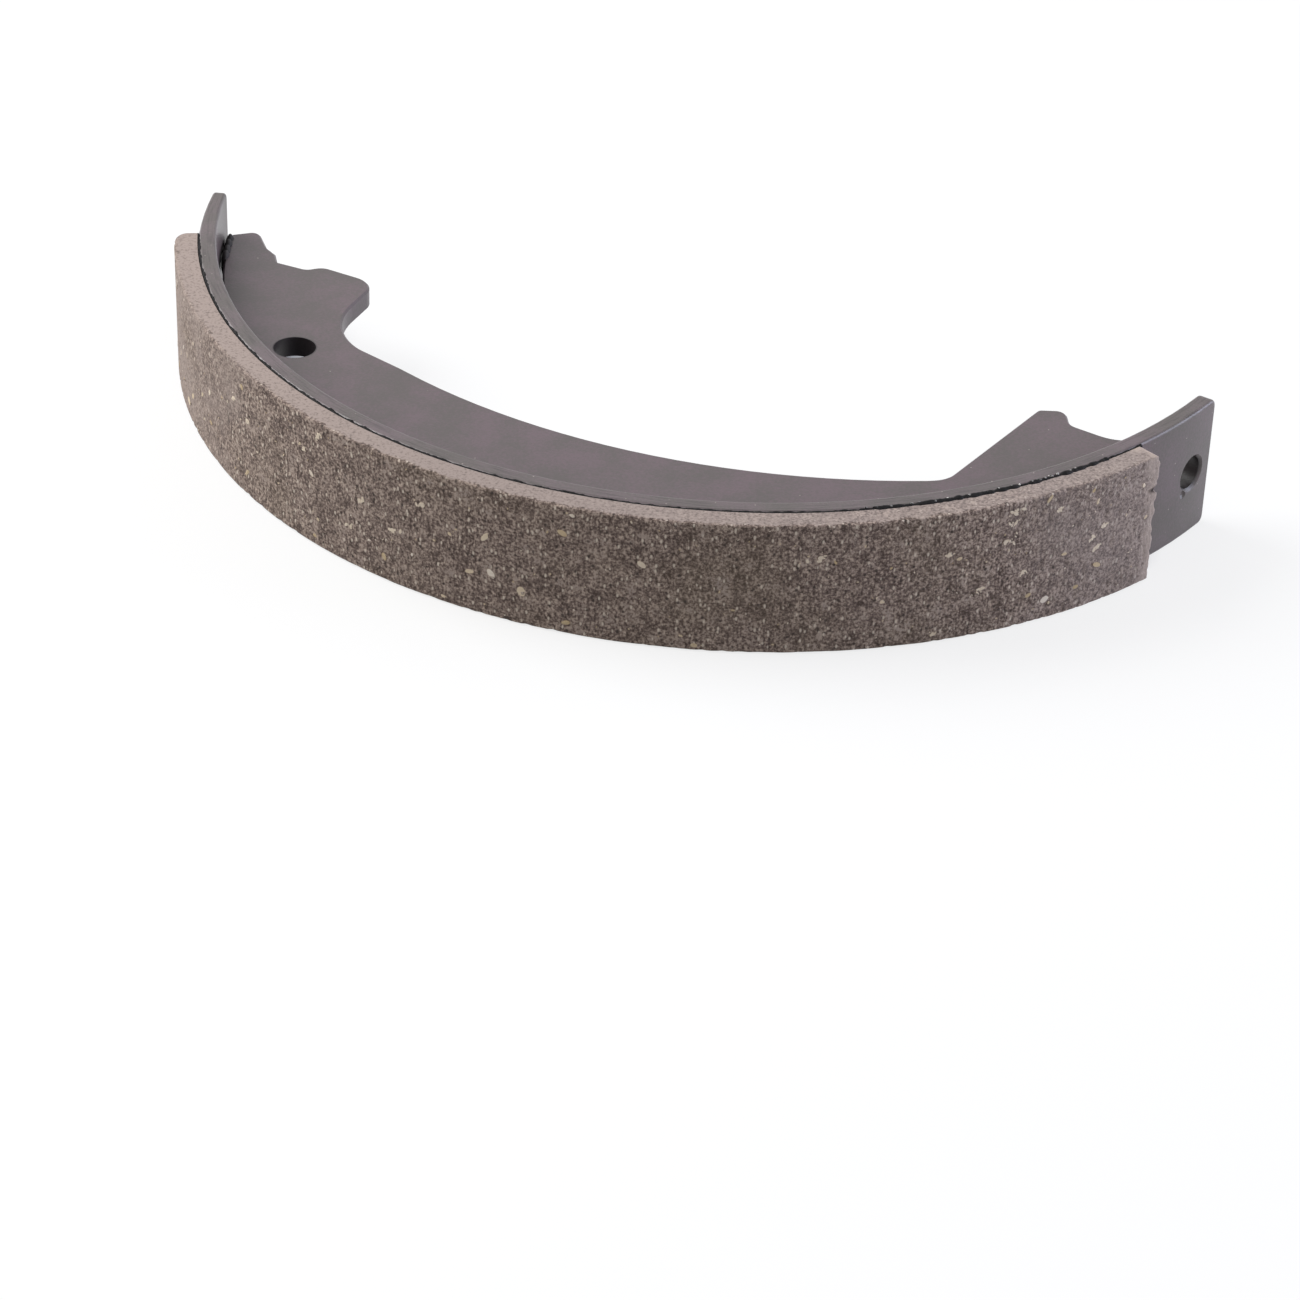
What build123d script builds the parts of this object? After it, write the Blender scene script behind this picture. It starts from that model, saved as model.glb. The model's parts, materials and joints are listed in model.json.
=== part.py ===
"""Bonded brake shoe for a small internal-expanding drum brake, such as a parking brake.

A bent steel strip, the table, carries a friction lining on its outer face. The lining is
bonded, with a thin adhesive layer between the two. A flat steel web stands on the inside of
the table, nearer one of its sides, and is resistance-welded to it at spaced spots. The shoe
lies flat on its other side: Z is parallel to the drum's axis, and the origin is at the middle
of the shoe's footprint, on the surface it lies on.

While the pieces are made, the drum's axis is the origin and the table's mid-width is Z = 0.
Angles run anticlockwise about the drum's axis from +X, seen from above. The horn end of the
shoe is at the small angles and the tab end at the large ones.
"""

from build123d import *

import os
from math import cos, degrees, radians, sin

# --- Driving dimensions: millimetres and degrees -------------------------------------------

drum_radius = 82.0  # outer face of the lining, which meets the drum

# Friction lining and its adhesive
lining_thickness = 3.4
lining_inset = 0.1  # edges of the lining inside those of the table
lining_horn_angle = 184.3
lining_tab_angle = 312.7
lining_lead_rounding = 1.2  # outer edge across the lining at the horn end
lining_edge_bevel = 0.4  # outer edges along the lining
bond_thickness = 0.2

# Table: the bent strip
table_thickness = 2.5
table_width = 19.6
table_horn_angle = 174.2
table_tab_angle = 325.5
table_corner_radius = 1.2
table_edge_rounding = 0.45
table_taper_angle = 184.0  # the strip thins from here to its horn end
table_horn_thickness = 1.9

# Hole in the bare tab, countersunk from outside, and the punched mark beside it
tab_hole_diameter = 4.8
tab_hole_setback = 4.8  # hole centre from the tab's end, along the table's outer face
tab_hole_sink = 0.4  # depth of the countersink, and its extra radius
tab_mark_radius = 0.8
tab_mark_depth = 0.4
tab_mark_along = 1.7  # from the hole's centre towards the lining
tab_mark_down = 2.6  # from the hole's centre towards the lower edge

# Web: the flat plate inside the table
web_thickness = 3.0
web_offset = 1.8  # web's mid-plane above the table's mid-width
web_gap = 0.7  # between the web's edge and the table, bridged by the welds
web_horn_angle = 175.1
web_tab_angle = 322.2
web_edge_bevel = 0.3

# Hold-down hole in the web
web_hole_diameter = 6.0
web_hole_depth = 6.9  # centre below the web's outer edge
web_hole_angle = 203.5

# Weld spots between the web and the table
weld_count = 8
weld_first_angle = 179.0
weld_last_angle = 314.8
weld_radius = 1.3
weld_rise = 0.9  # how far a bead stands above and below the web's faces
weld_inset = 0.5  # bead's axis inside the table's inner face
weld_bevel = 0.4

# --- Radii that follow -----------------------------------------------------------------------

bond_outer = drum_radius - lining_thickness
table_outer = bond_outer - bond_thickness
table_inner = table_outer - table_thickness
web_outer = table_inner - web_gap
lining_width = table_width - 2 * lining_inset

# --- Web profile -----------------------------------------------------------------------------
# Each point is (depth below the web's outer edge, distance along that edge from the web's
# end), and each corner adds its rounding radius. Negative distances lie beyond the end.

horn_corners = [
    (3.8, -1.7, 1.4),  # end of the lug that bears on the abutment
    (5.8, 3.5, 1.5),
    (7.3, 5.6, 0.8),  # shoulder of the lug
    (7.8, 8.4, 0.6),
    (12.1, 10.9, 1.5),
    (14.5, 9.9, 2.4),
    (22.2, 16.7, 3.5),  # nose
]
scoop_start = (17.8, 25.4)  # round scoop between the nose and the inner edge
scoop_middle = (15.5, 30.9)
scoop_end = (15.5, 41.9)
scoop_blend = 6.0  # radius where the scoop meets its neighbours

inner_edge_start = (18.1, 51.5)  # one long arc, from the scoop's side to the tab's lug
inner_edge_depth = 20.9  # depth below the outer edge at the arc's middle
inner_edge_end = (12.1, 37.8)  # from the tab end
inner_edge_blend = 30.0

tab_corners = [
    (11.4, 34.8, 4.0),  # where the inner edge turns up to the lug
    (19.3, 6.2, 0.9),  # lug
    (16.4, 2.9, 1.6),
    (13.6, 6.3, 2.2),
    (7.4, 5.2, 6.0),
]


def polar(radius: float, angle: float, height: float = 0.0) -> Vector:
    """Point at a radius and angle about the drum's axis."""
    return Vector(radius * cos(radians(angle)), radius * sin(radians(angle)), height)


def from_horn(depth: float, along: float) -> Vector:
    """Point on the web, placed from the horn end of its outer edge."""
    return polar(web_outer - depth, web_horn_angle + degrees(along / web_outer))


def from_tab(depth: float, along: float) -> Vector:
    """Point on the web, placed from the tab end of its outer edge."""
    return polar(web_outer - depth, web_tab_angle - degrees(along / web_outer))


def radial_plane(radius: float, angle: float, height: float = 0.0) -> Plane:
    """Plane that faces outwards, with its X towards the tab end and its Y up."""
    return Plane(
        origin=polar(radius, angle, height),
        x_dir=polar(1.0, angle + 90.0),
        z_dir=polar(1.0, angle),
    )


def bent_strip(inner: float, outer: float, start: float, end: float, width: float) -> Part:
    """Strip bent round the drum's axis, centred on the table's mid-width."""
    span = end - start
    outline = [
        CenterArc((0, 0), outer, start, span),
        Line(polar(outer, end), polar(inner, end)),
        CenterArc((0, 0), inner, end, -span),
        Line(polar(inner, start), polar(outer, start)),
    ]
    return extrude(make_face(outline), amount=width / 2, both=True)


def runs_across(edge: Edge) -> bool:
    """Whether an edge is straight and at right angles to the drum's axis."""
    return edge.geom_type == GeomType.LINE and abs(edge.tangent_at(0.5).Z) < 0.5


def runs_round(edge: Edge) -> bool:
    """Whether an edge is any other than those."""
    return not runs_across(edge)


def table_outline() -> Face:
    """Table's profile, thinner towards its horn end."""
    horn_outer = table_inner + table_horn_thickness
    taper_middle = polar((horn_outer + table_outer) / 2, (table_horn_angle + table_taper_angle) / 2)
    horn_corner = polar(horn_outer, table_horn_angle)
    taper_start = polar(table_outer, table_taper_angle)
    outline = [
        CenterArc((0, 0), table_outer, table_taper_angle, table_tab_angle - table_taper_angle),
        Line(polar(table_outer, table_tab_angle), polar(table_inner, table_tab_angle)),
        CenterArc((0, 0), table_inner, table_tab_angle, table_horn_angle - table_tab_angle),
        Line(polar(table_inner, table_horn_angle), horn_corner),
        ThreePointArc(horn_corner, taper_middle, taper_start),
    ]
    return make_face(outline)


def make_table() -> Part:
    """Bent steel strip with rounded corners and edges, and a countersunk hole in its tab."""
    table = extrude(table_outline(), amount=table_width / 2, both=True)
    table = fillet(table.edges().filter_by(runs_across), table_corner_radius)
    table = fillet(table.edges().filter_by(runs_round), table_edge_rounding)

    hole_radius = tab_hole_diameter / 2
    hole_angle = table_tab_angle - degrees(tab_hole_setback / table_outer)
    hole = Cylinder(hole_radius, 3 * table_thickness)
    sink = Cone(hole_radius, hole_radius + 2 * tab_hole_sink, 2 * tab_hole_sink)
    table -= radial_plane(table_outer, hole_angle) * (hole + sink)

    mark_angle = hole_angle - degrees(tab_mark_along / table_outer)
    mark_centre = table_outer + tab_mark_radius - tab_mark_depth
    table -= radial_plane(mark_centre, mark_angle, -tab_mark_down) * Sphere(tab_mark_radius)
    return table


def make_lining() -> Part:
    """Friction lining, with its outer edges broken."""
    lining = bent_strip(bond_outer, drum_radius, lining_horn_angle, lining_tab_angle, lining_width)
    lead = lining.edges().sort_by_distance(polar(drum_radius, lining_horn_angle))[0]
    lining = fillet(lead, lining_lead_rounding)
    rims = lining.edges().filter_by(GeomType.CIRCLE)
    rims = rims.filter_by(lambda edge: abs(edge.radius - drum_radius) < 0.01)
    return chamfer(rims, lining_edge_bevel)


def make_bond() -> Part:
    """Adhesive layer between the lining and the table."""
    return bent_strip(table_outer, bond_outer, lining_horn_angle, lining_tab_angle, lining_width)


def web_outline() -> Face:
    """Web's profile: outer edge, horn end, scoop, inner edge and tab end, in that order."""
    horn_end = polar(web_outer, web_horn_angle)
    tab_end = polar(web_outer, web_tab_angle)
    scoop = [from_horn(*point) for point in (scoop_start, scoop_middle, scoop_end)]
    inner_start = from_horn(*inner_edge_start)
    inner_end = from_tab(*inner_edge_end)
    inner_middle = polar(web_outer - inner_edge_depth, (web_horn_angle + web_tab_angle) / 2)

    horn_points = [horn_end] + [from_horn(depth, along) for depth, along, _ in horn_corners]
    horn_points.append(scoop[0])
    tab_points = [inner_end] + [from_tab(depth, along) for depth, along, _ in tab_corners]
    tab_points.append(tab_end)
    outline = [
        CenterArc((0, 0), web_outer, web_tab_angle, web_horn_angle - web_tab_angle),
        FilletPolyline(*horn_points, radius=[radius for _, _, radius in horn_corners]),
        ThreePointArc(*scoop),
        Line(scoop[-1], inner_start),
        ThreePointArc(inner_start, inner_middle, inner_end),
        FilletPolyline(*tab_points, radius=[radius for _, _, radius in tab_corners]),
    ]
    plate = make_face(outline)
    for point, radius in (
        (scoop[0], scoop_blend),
        (scoop[-1], scoop_blend),
        (inner_start, inner_edge_blend),
    ):
        plate = fillet(plate.vertices().sort_by_distance(point)[0], radius)
    return plate


def make_web() -> Part:
    """Flat web with its hold-down hole and bevelled edges."""
    web = extrude(web_outline(), amount=web_thickness / 2, both=True)
    rims = web.faces().filter_by(Axis.Z).edges()
    web = chamfer(rims, web_edge_bevel)
    hole_centre = polar(web_outer - web_hole_depth, web_hole_angle)
    web -= Pos(hole_centre) * Cylinder(web_hole_diameter / 2, 2 * web_thickness)
    return Pos(0, 0, web_offset) * web


def make_weld(angle: float, web: Part, table: Part) -> Part:
    """Weld spot that fills the gap at the web's edge and beads out on both of its faces."""
    bead = Cylinder(weld_radius, web_thickness + 2 * weld_rise)
    bead = chamfer(bead.edges().filter_by(GeomType.CIRCLE), weld_bevel)
    return Pos(polar(table_inner - weld_inset, angle, web_offset)) * bead - table - web


def make_shoe() -> dict[str, Part]:
    """All the pieces by node name, in the drum's frame."""
    table = make_table()
    web = make_web()
    pieces = {
        "shoe_table": table,
        "shoe_web": web,
        "brake_lining": make_lining(),
        "bond_line": make_bond(),
    }
    weld_step = (weld_last_angle - weld_first_angle) / (weld_count - 1)
    for index in range(weld_count):
        angle = weld_first_angle + index * weld_step
        pieces[f"weld_spot_{index + 1}"] = make_weld(angle, web, table)
    return pieces


def lay_down(pieces: dict[str, Part]) -> dict[str, Part]:
    """Move the shoe so that the origin is under the middle of its bounding box."""
    box = Compound(list(pieces.values())).bounding_box()
    move = Pos(-box.center().X, -box.center().Y, -box.min.Z)
    web_height = move.position.Z + web_offset
    print(f"drum axis at X {move.position.X:.3f}, Y {move.position.Y:.3f}; web at Z {web_height:.3f}")
    print(f"size {box.size.X:.2f} x {box.size.Y:.2f} x {box.size.Z:.2f}")
    return {name: move * piece for name, piece in pieces.items()}


os.makedirs("parts", exist_ok=True)
for node, shape in lay_down(make_shoe()).items():
    export_step(shape, f"parts/{node}.step")
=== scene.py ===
"""Finishes and fine detail for a bonded brake shoe: painted steel, friction lining and adhesive.

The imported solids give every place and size. The table and the web keep their solids and get
paint. The lining, the weld beads and the adhesive that squeezed out are built here in finer
detail, in metres, where their solids are.
"""

import json
import logging
import math
from collections.abc import Iterable
from dataclasses import dataclass
from enum import Enum
from typing import ClassVar

import bmesh
import bpy
import numpy as np
from mathutils import Euler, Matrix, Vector, noise

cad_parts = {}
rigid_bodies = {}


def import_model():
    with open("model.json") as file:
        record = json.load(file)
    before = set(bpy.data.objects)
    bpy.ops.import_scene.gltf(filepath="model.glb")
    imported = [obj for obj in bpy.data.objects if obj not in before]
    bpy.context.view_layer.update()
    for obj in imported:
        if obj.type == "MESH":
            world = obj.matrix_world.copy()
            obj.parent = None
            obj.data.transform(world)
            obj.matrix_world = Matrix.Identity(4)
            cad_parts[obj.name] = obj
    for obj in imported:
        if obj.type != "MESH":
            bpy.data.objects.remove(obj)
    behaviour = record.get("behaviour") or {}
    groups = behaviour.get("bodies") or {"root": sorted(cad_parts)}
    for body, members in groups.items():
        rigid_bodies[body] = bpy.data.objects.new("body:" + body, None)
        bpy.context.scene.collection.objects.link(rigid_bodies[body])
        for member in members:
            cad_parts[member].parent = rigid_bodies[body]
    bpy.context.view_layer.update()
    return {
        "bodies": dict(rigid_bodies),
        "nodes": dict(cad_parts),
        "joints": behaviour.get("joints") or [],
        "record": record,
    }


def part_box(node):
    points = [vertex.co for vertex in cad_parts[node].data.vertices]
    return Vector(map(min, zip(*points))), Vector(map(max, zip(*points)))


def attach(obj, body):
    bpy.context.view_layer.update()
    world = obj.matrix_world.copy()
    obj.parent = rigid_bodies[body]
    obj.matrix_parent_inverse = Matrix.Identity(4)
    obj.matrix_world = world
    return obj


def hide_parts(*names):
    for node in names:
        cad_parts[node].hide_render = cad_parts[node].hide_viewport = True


MM = 0.001
SQUARE_CM = 1e-4
BODY = "root"

log = logging.getLogger("brake_shoe")

Tree = bpy.types.NodeTree
Node = bpy.types.Node
Socket = bpy.types.NodeSocket
Feed = Node | Socket  # what an input can be linked from: a node stands for its first output
Values = dict[str, object]
Stops = tuple[tuple[float, str], ...]
Triple = tuple[float, float, float]
Pair = tuple[float, float]


class Slot(Enum):
    """Material slots of the part's record."""

    STEEL = "painted_steel"
    FRICTION = "friction_material"
    ADHESIVE = "adhesive"


class Mark(Enum):
    """Values that the lining's mesh carries for its finish."""

    GROUND = "under_ground_face"  # in millimetres, as the next two
    SAWN = "from_sawn_end"
    LEAD = "from_horn_end"
    NOTCH_SHADE = "notch_painted_shade"  # a share of painted shade in the notch


# --- Helpers ---------------------------------------------------------------------------------


def linear(colour: str) -> tuple[float, float, float, float]:
    """Turn an sRGB hex colour into linear RGBA.

    Args:
        colour: Six hex digits, with a leading hash.

    Returns:
        Linear red, green and blue, and an alpha of 1.
    """
    channels = [int(colour[i : i + 2], 16) / 255 for i in (1, 3, 5)]
    straight = [c / 12.92 if c <= 0.04045 else ((c + 0.055) / 1.055) ** 2.4 for c in channels]
    return (straight[0], straight[1], straight[2], 1.0)


def add_node(
    tree: Tree,
    kind: str,
    inputs: dict[str | int, object] | list[object] | None = None,
    stops: Stops = (),
    **settings: object,
) -> Node:
    """Add a node with its settings, values and links.

    Args:
        tree: Shader or geometry node tree.
        kind: Blender's name for the node's type.
        inputs: Values by socket name or index, or a list of them in the sockets' order. A
            socket is linked, and a node is linked from its first output in use.
        stops: Positions and colours, for a colour ramp.
        **settings: Properties of the node itself.

    Returns:
        The new node.
    """
    node = tree.nodes.new(kind)
    for name, value in settings.items():
        setattr(node, name, value)
    pairs = inputs.items() if isinstance(inputs, dict) else enumerate(inputs or [])
    for key, value in pairs:
        if isinstance(value, Node):
            value = next(socket for socket in value.outputs if socket.enabled)
        if isinstance(value, Socket):
            tree.links.new(value, node.inputs[key])
        else:
            node.inputs[key].default_value = value
    if stops:
        points = node.color_ramp.elements
        while len(points) < len(stops):
            points.new(1.0)
        for point, (position, colour) in zip(points, stops):
            point.position = position
            point.color = linear(colour)
    return node


def lay_coats(tree: Tree, base: Feed | str, coats: Iterable[tuple[Feed, Feed | str]]) -> Feed:
    """Lay colours over a base in turn.

    Args:
        tree: The material's nodes.
        base: Colour to start from.
        coats: Share and colour of each coat, the lowest first.

    Returns:
        The colour that shows.
    """
    shown = linear(base) if isinstance(base, str) else base
    for share, colour in coats:
        over = linear(colour) if isinstance(colour, str) else colour
        shown = add_node(tree, "ShaderNodeMix", {0: share, 6: shown, 7: over}, data_type="RGBA")
    return shown


def overlap(tree: Tree, share: Feed, *others: Feed | float) -> Feed:
    """Multiply shares, so that the result is high only where all of them are.

    Args:
        tree: Shader or geometry node tree.
        share: The first share.
        *others: The rest, each a node, a socket or a plain number.

    Returns:
        The product.
    """
    for other in others:
        share = add_node(tree, "ShaderNodeMath", [share, other], operation="MULTIPLY")
    return share


def per_metre(size_mm: float) -> float:
    """Texture scale whose pattern repeats at a real size in millimetres."""
    return 1.0 / (size_mm * MM)


def add_noise(
    tree: Tree, where: Feed, sizes: Iterable[tuple[float, float, float]]
) -> list[Socket]:
    """Add layers of noise, from the finest to the broadest.

    Args:
        tree: The material's nodes.
        where: Object coordinates.
        sizes: Lump size in millimetres, detail and roughness of each layer.

    Returns:
        Socket of each layer.
    """
    layers = []
    for size, detail, rough in sizes:
        values = {"Vector": where, "Scale": per_metre(size), "Detail": detail, "Roughness": rough}
        layers.append(add_node(tree, "ShaderNodeTexNoise", values).outputs["Fac"])
    return layers


def new_material(name: str) -> tuple[bpy.types.Material, Tree, Socket]:
    """Start a node material.

    Args:
        name: The material's name.

    Returns:
        The material, its emptied node tree and the Object coordinates' socket.
    """
    material = bpy.data.materials.new(name)
    material.use_nodes = True
    material.node_tree.nodes.clear()
    coordinates = add_node(material.node_tree, "ShaderNodeTexCoord")
    return material, material.node_tree, coordinates.outputs["Object"]


def close_material(tree: Tree, shader: Node) -> None:
    """Link a shader to a new material output."""
    add_node(tree, "ShaderNodeOutputMaterial", {"Surface": shader})


def place(mesh: bpy.types.Mesh, name: str) -> bpy.types.Object:
    """Put a mesh in the scene as an object at the origin."""
    piece = bpy.data.objects.new(name, mesh)
    bpy.context.scene.collection.objects.link(piece)
    return piece


def hand_over(
    piece: bpy.types.Object, replaced: Iterable[str] = (), soft: bool = True
) -> bpy.types.Object:
    """Tie a finished piece to the shoe's body, and report it.

    Args:
        piece: The piece.
        replaced: Nodes whose solids it stands for.
        soft: Whether its faces are shaded smoothly.

    Returns:
        The same piece.
    """
    faces = piece.data.polygons
    faces.foreach_set("use_smooth", [soft] * len(faces))
    if replaced:
        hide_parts(*replaced)
    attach(piece, BODY)
    log.info("%s: %d faces", piece.name, len(faces))
    return piece


def start_tree(name: str, values: Values) -> tuple[Tree, dict[str, Socket]]:
    """Start a geometry node tree with named inputs.

    Args:
        name: The tree's name.
        values: Name and value of each input, after the geometry.

    Returns:
        The tree and its inputs by name.
    """
    kinds = {float: "Float", int: "Int", tuple: "Vector", bpy.types.Material: "Material"}
    tree = bpy.data.node_groups.new(name, "GeometryNodeTree")
    tree.interface.new_socket("Geometry", in_out="INPUT", socket_type="NodeSocketGeometry")
    for socket, value in values.items():
        kind = "NodeSocket" + kinds[type(value)]
        tree.interface.new_socket(socket, in_out="INPUT", socket_type=kind)
    tree.interface.new_socket("Geometry", in_out="OUTPUT", socket_type="NodeSocketGeometry")
    given = add_node(tree, "NodeGroupInput")
    return tree, {socket.name: socket for socket in given.outputs if socket.name}


def end_tree(tree: Tree, geometry: Feed, material: Socket) -> None:
    """Realize a tree's instances, give them their material and close the tree.

    Args:
        tree: Geometry node tree.
        geometry: What the tree has made.
        material: Socket that holds the material.
    """
    real = add_node(tree, "GeometryNodeRealizeInstances", [geometry])
    values = {"Geometry": real, "Material": material}
    dressed = add_node(tree, "GeometryNodeSetMaterial", values)
    add_node(tree, "NodeGroupOutput", [dressed])


def unsettle(tree: Tree, geometry: Feed, size_mm: float, detail: float, amount: Socket) -> Node:
    """Push a geometry's points about by noise.

    Args:
        tree: Geometry node tree.
        geometry: What is pushed.
        size_mm: Size of the noise's lumps.
        detail: Detail of the noise.
        amount: Socket of how far a point goes at most, both ways together.

    Returns:
        Node of the uneven geometry.
    """
    where = add_node(tree, "GeometryNodeInputPosition")
    values = {"Vector": where, "Scale": per_metre(size_mm), "Detail": detail}
    uneven = add_node(tree, "ShaderNodeTexNoise", values).outputs["Color"]
    half = (0.5, 0.5, 0.5)
    centred = add_node(tree, "ShaderNodeVectorMath", [uneven, half], operation="SUBTRACT")
    values = {0: centred, "Scale": amount}
    offset = add_node(tree, "ShaderNodeVectorMath", values, operation="SCALE")
    values = {"Geometry": geometry, "Offset": offset}
    return add_node(tree, "GeometryNodeSetPosition", values)


def turn_outward(tree: Tree, axis: Socket, side: str) -> Node:
    """Rotation that turns one side of an instance away from the drum's axis.

    Args:
        tree: Geometry node tree.
        axis: Socket of a point on the drum's axis.
        side: The instance's own axis that is turned.

    Returns:
        Node of the rotation.
    """
    where = add_node(tree, "GeometryNodeInputPosition")
    outward = add_node(tree, "ShaderNodeVectorMath", [where, axis], operation="SUBTRACT")
    level = (1.0, 1.0, 0.0)
    flat = add_node(tree, "ShaderNodeVectorMath", [outward, level], operation="MULTIPLY")
    return add_node(tree, "FunctionNodeAlignRotationToVector", {"Vector": flat}, axis=side)


def grow(name: str, seed_mesh: bpy.types.Mesh, tree: Tree, values: Values) -> bpy.types.Object:
    """Run a geometry node tree on a mesh and keep its result as a plain mesh.

    Args:
        name: Name of the new object.
        seed_mesh: Mesh that the tree starts from.
        tree: Geometry node tree.
        values: Value for each named input of the tree.

    Returns:
        Object with the plain mesh and no modifier.
    """
    carrier = place(seed_mesh, name + "_carrier")
    modifier = carrier.modifiers.new("tree", "NODES")
    modifier.node_group = tree
    for item in tree.interface.items_tree:
        if item.name in values:
            modifier[item.identifier] = values[item.name]
    bpy.context.view_layer.update()
    grown = carrier.evaluated_get(bpy.context.evaluated_depsgraph_get())
    mesh = bpy.data.meshes.new_from_object(grown)
    bpy.data.objects.remove(carrier)
    return place(mesh, name)


# --- Finishes --------------------------------------------------------------------------------


@dataclass(frozen=True)
class Finish:
    """What a surface is made of, and how it was made."""

    name: str = ""
    roughness: float = 0.5
    ior: float = 1.5

    def build(self) -> bpy.types.Material:
        """Build the material.

        Returns:
            The material.
        """
        material, tree, where = new_material(self.name)
        shader = {"Roughness": self.roughness, "IOR": self.ior, **self.look(tree, where)}
        close_material(tree, add_node(tree, "ShaderNodeBsdfPrincipled", shader))
        return material

    def look(self, tree: Tree, where: Socket) -> Values:
        """Work out the surface's colour and relief.

        Args:
            tree: The material's nodes.
            where: Object coordinates.

        Returns:
            Values of the shader's inputs by name.
        """
        raise NotImplementedError


@dataclass(frozen=True)
class Bore:
    """A punched hole, whose wall gets painted shade, nearly black."""

    centre: Triple  # in metres
    direction: Triple
    radius: float  # in metres
    band: Pair = (0.02, 0.25)  # the painted shade on its wall is gone this far outside, in millimetres

    def wall(self, tree: Tree, where: Socket, most: float) -> Node:
        """Share of painted shade, high on the hole's wall.

        Args:
            tree: The material's nodes.
            where: Object coordinates.
            most: Share on the wall itself.

        Returns:
            Node of the share.
        """
        offset = add_node(tree, "ShaderNodeVectorMath", [where, self.centre], operation="SUBTRACT")
        values = [offset, self.direction]
        across = add_node(tree, "ShaderNodeVectorMath", values, operation="CROSS_PRODUCT")
        radius = add_node(tree, "ShaderNodeVectorMath", [across], operation="LENGTH")
        near, far = (self.radius + gap * MM for gap in self.band)
        return add_node(tree, "ShaderNodeMapRange", [radius, near, far, most, 0.0])


@dataclass(frozen=True)
class PrimedSteel(Finish):
    """Pressed mild steel under black electrocoat primer.

    The coat is thin and satin, so it is a soft purplish grey under a bright sky, cloudy with
    slightly greener patches, with the sheet's fine grain under it and a little dust on it. Its
    crevices and the walls of its holes get painted shade, near black.
    """

    name: str = "primed_steel"
    roughness: float = 0.36
    coat: str = "#65555b"
    coat_green: str = "#564f4e"
    coat_stops: Pair = (0.4, 0.58)
    cloud_mm: float = 14.0
    patch_mm: float = 7.0
    grain_mm: float = 0.35
    grain_height_mm: float = 0.02
    dust: str = "#b4aaa2"
    dust_share: float = 0.7
    speck_mm: float = 3.0
    speck_radius_mm: float = 0.13
    # Near black, for painted shade in crevices and on bore walls.
    painted_shade: str = "#1b181a"
    painted_shade_share: float = 0.9
    crevice_mm: float = 5.0
    crevice_sky: Pair = (0.15, 0.68)  # shares of open sky where the painted shade is full, and gone
    bores: tuple[Bore, ...] = ()
    bore_shade_share: float = 0.8
    roughness_spread: Pair = (-0.06, 0.08)

    def look(self, tree: Tree, where: Socket) -> Values:
        """Colour the cloudy coat with its dust, painted shade, marks and highlights, over the
        sheet's grain.

        Args:
            tree: The material's nodes.
            where: Object coordinates.

        Returns:
            Values of the shader's inputs by name.
        """
        sizes = ((self.grain_mm, 4.0, 0.5), (self.patch_mm, 3.0, 0.5), (self.cloud_mm, 2.0, 0.5))
        grain, patch, cloud = add_noise(tree, where, sizes)
        mixed = add_node(tree, "ShaderNodeMix", {0: 0.5, 2: patch, 3: grain})
        stops = tuple(zip(self.coat_stops, (self.coat, self.coat_green)))
        coat = add_node(tree, "ShaderNodeValToRGB", [mixed], stops=stops)
        colour = lay_coats(tree, coat, self.dust_and_painted_shade(tree, where) + self.wear_and_highlights(tree, where))
        limits = [cloud, 0.0, 1.0, *(self.roughness + add for add in self.roughness_spread)]
        relief = {"Height": grain, "Distance": self.grain_height_mm * MM}
        return {
            "Base Color": colour,
            "Roughness": add_node(tree, "ShaderNodeMapRange", limits),
            "Normal": add_node(tree, "ShaderNodeBump", relief),
        }

    def dust_and_painted_shade(self, tree: Tree, where: Socket) -> list[tuple[Feed, str]]:
        """Dust specks, and painted shade in the crevices and on the walls of the bores.

        Args:
            tree: The material's nodes.
            where: Object coordinates.

        Returns:
            Share and colour of each.
        """
        values = {"Vector": where, "Scale": per_metre(self.speck_mm)}
        cells = add_node(tree, "ShaderNodeTexVoronoi", values)
        reach = self.speck_radius_mm / self.speck_mm
        limits = [cells, reach / 2, reach, self.dust_share, 0.0]
        speck = add_node(tree, "ShaderNodeMapRange", limits)
        # Painted shade: ambient occlusion darkens the coat in crevices and corners.
        values = {"Distance": self.crevice_mm * MM}
        sky = add_node(tree, "ShaderNodeAmbientOcclusion", values, samples=8).outputs["AO"]
        limits = [sky, *self.crevice_sky, self.painted_shade_share, 0.0]
        crevice_shade = add_node(tree, "ShaderNodeMapRange", limits)
        # Painted shade on the walls of the punched holes.
        walls = [(bore.wall(tree, where, self.bore_shade_share), self.painted_shade) for bore in self.bores]
        return [(speck, self.dust), (crevice_shade, self.painted_shade), *walls]

    def wear_and_highlights(self, tree: Tree, where: Socket) -> list[tuple[Feed, str]]:
        """Marks and painted highlights that only some primed pieces have, besides the dust and
        painted shade: none here.
        """
        return []


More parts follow.
